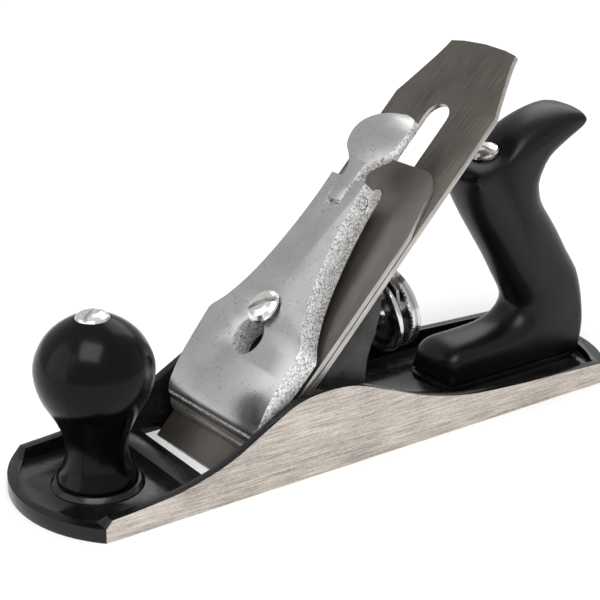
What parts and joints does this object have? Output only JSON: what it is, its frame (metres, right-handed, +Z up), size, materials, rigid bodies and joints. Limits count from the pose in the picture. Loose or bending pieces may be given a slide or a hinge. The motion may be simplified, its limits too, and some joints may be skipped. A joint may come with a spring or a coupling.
{
  "type": "bench smoothing plane",
  "caption": "Iron-bodied bench smoothing plane with a bedded cutter under a cam-locked lever cap, a depth wheel behind it, a round front knob and a shaped rear handle.",
  "frame": {"origin": "centre of the plane's footprint, on the underside of the sole", "axes": "+X from toe to heel, +Y to the right of a user pushing the plane, +Z up from the sole"},
  "size_m": [0.236, 0.061, 0.1245],
  "materials": {
    "casting_enamel": "gloss black enamel, with the sides and sole ground bright",
    "frog_iron": "dark satin cast iron",
    "plain_steel": "plain pressed and turned steel",
    "bright_screws": "bright turned steel",
    "tool_steel": "brownish ground tool steel",
    "cap_steel": "darker rolled steel",
    "chrome": "bright plate, polished on the faces",
    "gloss_black": "gloss black moulding",
    "satin_black": "satin black moulding",
    "nickel": "bright nickel"
  },
  "bodies": {
    "plane_body": {"body_casting": "casting_enamel", "frog_screw_left": "bright_screws", "frog_screw_right": "bright_screws", "frog_washer_left": "plain_steel", "frog_washer_right": "plain_steel", "knob": "gloss_black", "knob_bolt": "bright_screws", "knob_nut": "nickel", "tote": "satin_black", "tote_bolt": "bright_screws", "tote_nut": "nickel"},
    "frog_unit": {"frog": "frog_iron", "frog_clip": "plain_steel", "frog_clip_screw": "bright_screws", "y_lever_pin": "bright_screws"},
    "frog_adjuster": {"frog_adjusting_screw": "bright_screws"},
    "wheel_carrier": {"depth_stud": "plain_steel"},
    "wheel": {"depth_wheel": "chrome"},
    "yoke": {"y_lever": "plain_steel"},
    "iron_pack": {"plane_iron": "tool_steel", "cap_iron": "cap_steel", "cap_iron_screw": "bright_screws"},
    "lever_cap_unit": {"lever_cap": "chrome", "lever_cap_spring": "plain_steel", "lever_cap_spring_rivet": "bright_screws", "cam_pin": "bright_screws"},
    "cam": {"cam_lever": "chrome"},
    "cap_screw": {"lever_cap_screw": "bright_screws"}
  },
  "joints": [
    {"name": "frog_slide", "type": "slide", "parent": "plane_body", "child": "frog_unit", "axis": [1, 0, 0], "range_m": [-0.002, 0.0005]},
    {"name": "frog_screw_turn", "type": "hinge", "parent": "frog_unit", "child": "frog_adjuster", "pos_m": [0, 0, 0.0112], "axis": [1, 0, 0], "range_deg": [-905, 230]},
    {"name": "wheel_travel", "type": "slide", "parent": "frog_unit", "child": "wheel_carrier", "axis": [0.9848, 0, 0.1736], "range_m": [-0.002, 0.0016]},
    {"name": "wheel_turn", "type": "hinge", "parent": "wheel_carrier", "child": "wheel", "pos_m": [0.024, 0, 0.0378], "axis": [0.9848, 0, 0.1736], "range_deg": [-536, 669]},
    {"name": "yoke_pivot", "type": "hinge", "parent": "frog_unit", "child": "yoke", "pos_m": [0.01928, 0, 0.0588], "axis": [0, -1, 0], "range_deg": [-9.7, 7.8]},
    {"name": "iron_feed", "type": "slide", "parent": "frog_unit", "child": "iron_pack", "axis": [-0.7071, 0, -0.7071], "range_m": [-0.002, 0.0016]},
    {"name": "lever_cap_slide", "type": "slide", "parent": "frog_unit", "child": "lever_cap_unit", "axis": [0.7066, 0.0384, 0.7066], "range_m": [0, 0.0107]},
    {"name": "cam_lever_lift", "type": "hinge", "parent": "lever_cap_unit", "child": "cam", "pos_m": [0.00784, 0.00178, 0.08066], "axis": [0.0271, -0.9993, 0.0271], "range_deg": [0, 100]},
    {"name": "lever_cap_screw_turn", "type": "hinge", "parent": "frog_unit", "child": "cap_screw", "pos_m": [-0.01611, 0, 0.03889], "axis": [-0.7071, 0, 0.7071], "range_deg": [-90, 90]}
  ],
  "couplings": [
    {"joint": "frog_screw_turn", "follows": "frog_slide", "rad_per_m": 7854},
    {"joint": "wheel_travel", "follows": "iron_feed", "ratio": 0.98},
    {"joint": "wheel_turn", "follows": "iron_feed", "rad_per_m": -5809},
    {"joint": "yoke_pivot", "follows": "iron_feed", "rad_per_m": 83.542}
  ]
}
